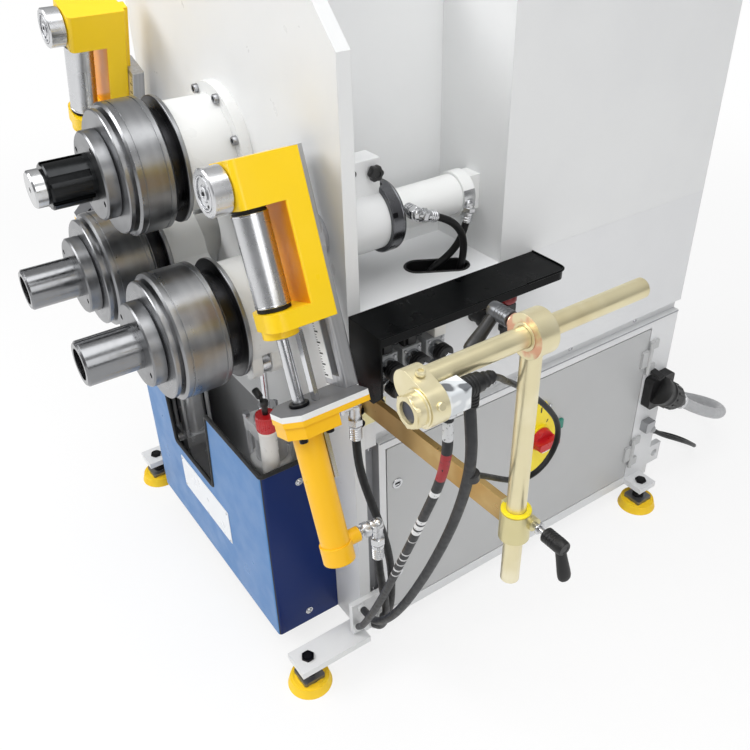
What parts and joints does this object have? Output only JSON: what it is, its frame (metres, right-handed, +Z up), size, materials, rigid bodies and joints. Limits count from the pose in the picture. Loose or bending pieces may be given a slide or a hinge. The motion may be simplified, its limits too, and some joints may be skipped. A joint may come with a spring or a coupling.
{
  "type": "ring roller",
  "caption": "Floor-standing hydraulic section bending machine with three driven rolls, two leaning side guides, a control cabinet and a sensor on a support arm.",
  "frame": {"origin": "middle of the footprint, hoses and cables left out, on the floor under the foot pads", "axes": "+X is the operator's right side, where the control cabinet is; -Y is the front, where the rolls stand out; +Z is up"},
  "size_m": [1.5772, 1.7675, 1.44],
  "materials": {
    "body_paint": "satin light grey-white enamel",
    "door_paint": "satin mid-grey enamel",
    "cover_paint": "satin blue enamel",
    "guide_paint": "gloss signal yellow enamel",
    "cylinder_paint": "satin pale yellow enamel",
    "roll_steel": "turned tool steel with a light oil film",
    "dark_steel": "blued turned steel",
    "bright_steel": "ground and hard-chromed",
    "cast_metal": "dark painted casting",
    "zinc_plate": "yellow-passivated zinc",
    "hood_black": "satin black enamel",
    "black_plastic": "moulded black",
    "red_plastic": "moulded red",
    "yellow_plastic": "moulded yellow",
    "pad_rubber": "yellow vibration-damping rubber",
    "hose_rubber": "black hose rubber"
  },
  "bodies": {
    "frame": {"front_plate": "body_paint", "upper_bearing_housing": "body_paint", "base_frame": "body_paint", "upper_casing": "body_paint", "front_cover": "cover_paint", "levelling_feet": "zinc_plate", "foot_pads": "pad_rubber", "guide_tubes": "body_paint", "ram_cylinders": "body_paint", "swing_cylinders": "body_paint", "power_pack": "cast_metal", "valve_hood": "hood_black", "valve_block": "cast_metal", "support_bar": "zinc_plate", "lubricator": "red_plastic", "cable_inlets": "black_plastic", "guide_hose_upper": "hose_rubber", "guide_hose_lower": "hose_rubber", "recess_hose_front": "hose_rubber", "recess_hose_rear": "hose_rubber", "sensor_hose": "hose_rubber", "sensor_cable_sleeve": "hose_rubber", "loop_cable": "hose_rubber", "power_conduit": "hose_rubber", "rear_cable": "hose_rubber"},
    "upper_roll": {"upper_shaft": "dark_steel", "upper_lock_ring": "dark_steel", "upper_roll_set": "roll_steel"},
    "right_arm": {"right_swing_arm": "body_paint"},
    "right_lower_roll": {"right_lower_shaft": "dark_steel", "right_lock_ring": "dark_steel", "right_roll_set": "roll_steel"},
    "right_rod": {"right_swing_rod": "bright_steel"},
    "right_ram": {"right_slideway": "body_paint", "right_lift_cylinder": "cylinder_paint"},
    "right_carriage": {"right_guide_bracket": "guide_paint", "right_lift_rod": "bright_steel"},
    "right_roller": {"right_guide_roller": "bright_steel"},
    "right_wheel": {"right_front_wheel": "roll_steel"},
    "left_arm": {"left_swing_arm": "body_paint"},
    "left_lower_roll": {"left_lower_shaft": "dark_steel", "left_lock_ring": "dark_steel", "left_roll_set": "roll_steel"},
    "left_rod": {"left_swing_rod": "bright_steel"},
    "left_ram": {"left_slideway": "body_paint", "left_lift_cylinder": "cylinder_paint"},
    "left_carriage": {"left_guide_bracket": "guide_paint", "left_lift_rod": "bright_steel"},
    "left_roller": {"left_guide_roller": "bright_steel"},
    "left_wheel": {"left_front_wheel": "roll_steel"},
    "door": {"cabinet_door": "door_paint", "switch_base": "yellow_plastic"},
    "switch": {"switch_handle": "red_plastic"},
    "mast": {"upright_rod": "zinc_plate", "cross_clamp": "zinc_plate"},
    "boom": {"cross_rod": "zinc_plate", "sensor_holder": "zinc_plate", "sensor": "black_plastic"},
    "lower_lever": {"lower_clamp_lever": "black_plastic"},
    "upper_lever": {"upper_clamp_lever": "black_plastic"}
  },
  "joints": [
    {"name": "upper_spin", "type": "hinge", "parent": "frame", "child": "upper_roll", "pos_m": [-0.16163, -0.577, 1.078], "axis": [0, 1, 0], "continuous": true},
    {"name": "right_swing", "type": "hinge", "parent": "frame", "child": "right_arm", "pos_m": [-0.11563, -0.577, 0.772], "axis": [0, -1, 0], "range_deg": [0, 26]},
    {"name": "right_lower_spin", "type": "hinge", "parent": "right_arm", "child": "right_lower_roll", "pos_m": [0.01037, -0.577, 0.814], "axis": [0, 1, 0], "continuous": true},
    {"name": "right_rod_slide", "type": "slide", "parent": "frame", "child": "right_rod", "axis": [0, 0, 1], "range_m": [0, 0.0848]},
    {"name": "right_ram_slide", "type": "slide", "parent": "frame", "child": "right_ram", "axis": [0, -1, 0], "range_m": [0, 0.12]},
    {"name": "right_lift_slide", "type": "slide", "parent": "right_ram", "child": "right_carriage", "axis": [-0.342, 0, 0.9397], "range_m": [-0.1, 0.1]},
    {"name": "right_roller_spin", "type": "hinge", "parent": "right_carriage", "child": "right_roller", "pos_m": [0.25137, -0.451, 1.044], "axis": [-0.342, 0, 0.9397], "continuous": true},
    {"name": "right_wheel_spin", "type": "hinge", "parent": "right_carriage", "child": "right_wheel", "pos_m": [0.21307, -0.495, 1.14925], "axis": [0, 1, 0], "continuous": true},
    {"name": "left_swing", "type": "hinge", "parent": "frame", "child": "left_arm", "pos_m": [-0.20763, -0.577, 0.772], "axis": [0, 1, 0], "range_deg": [0, 26]},
    {"name": "left_lower_spin", "type": "hinge", "parent": "left_arm", "child": "left_lower_roll", "pos_m": [-0.33363, -0.577, 0.814], "axis": [0, 1, 0], "continuous": true},
    {"name": "left_rod_slide", "type": "slide", "parent": "frame", "child": "left_rod", "axis": [0, 0, 1], "range_m": [0, 0.0848]},
    {"name": "left_ram_slide", "type": "slide", "parent": "frame", "child": "left_ram", "axis": [0, -1, 0], "range_m": [0, 0.12]},
    {"name": "left_lift_slide", "type": "slide", "parent": "left_ram", "child": "left_carriage", "axis": [0.342, 0, 0.9397], "range_m": [-0.23, 0]},
    {"name": "left_roller_spin", "type": "hinge", "parent": "left_carriage", "child": "left_roller", "pos_m": [-0.53017, -0.451, 1.16616], "axis": [0.342, 0, 0.9397], "continuous": true},
    {"name": "left_wheel_spin", "type": "hinge", "parent": "left_carriage", "child": "left_wheel", "pos_m": [-0.49186, -0.495, 1.27141], "axis": [0, 1, 0], "continuous": true},
    {"name": "door_hinge", "type": "hinge", "parent": "frame", "child": "door", "pos_m": [0.27537, 0.561, 0.3], "axis": [0, 0, 1], "range_deg": [0, 100]},
    {"name": "switch_turn", "type": "hinge", "parent": "door", "child": "switch", "pos_m": [0.26837, 0.197, 0.397], "axis": [1, 0, 0], "range_deg": [0, 90]},
    {"name": "mast_slide", "type": "slide", "parent": "frame", "child": "mast", "axis": [0, 0, 1], "range_m": [0, 0.06]},
    {"name": "boom_slide", "type": "slide", "parent": "mast", "child": "boom", "axis": [0, 1, 0], "range_m": [-0.06, 0]},
    {"name": "lower_lever_turn", "type": "hinge", "parent": "frame", "child": "lower_lever", "pos_m": [0.68637, -0.271, 0.729], "axis": [1, 0, 0], "range_deg": [-50, 50]},
    {"name": "upper_lever_turn", "type": "hinge", "parent": "mast", "child": "upper_lever", "pos_m": [0.68637, -0.285, 1.055], "axis": [1, 0, 0], "range_deg": [-50, 50]}
  ],
  "couplings": [
    {"joint": "right_lower_spin", "follows": "upper_spin", "ratio": -1},
    {"joint": "right_rod_slide", "follows": "right_swing", "m_per_rad": 0.18639},
    {"joint": "left_lower_spin", "follows": "upper_spin", "ratio": -1},
    {"joint": "left_rod_slide", "follows": "left_swing", "m_per_rad": 0.18639}
  ]
}
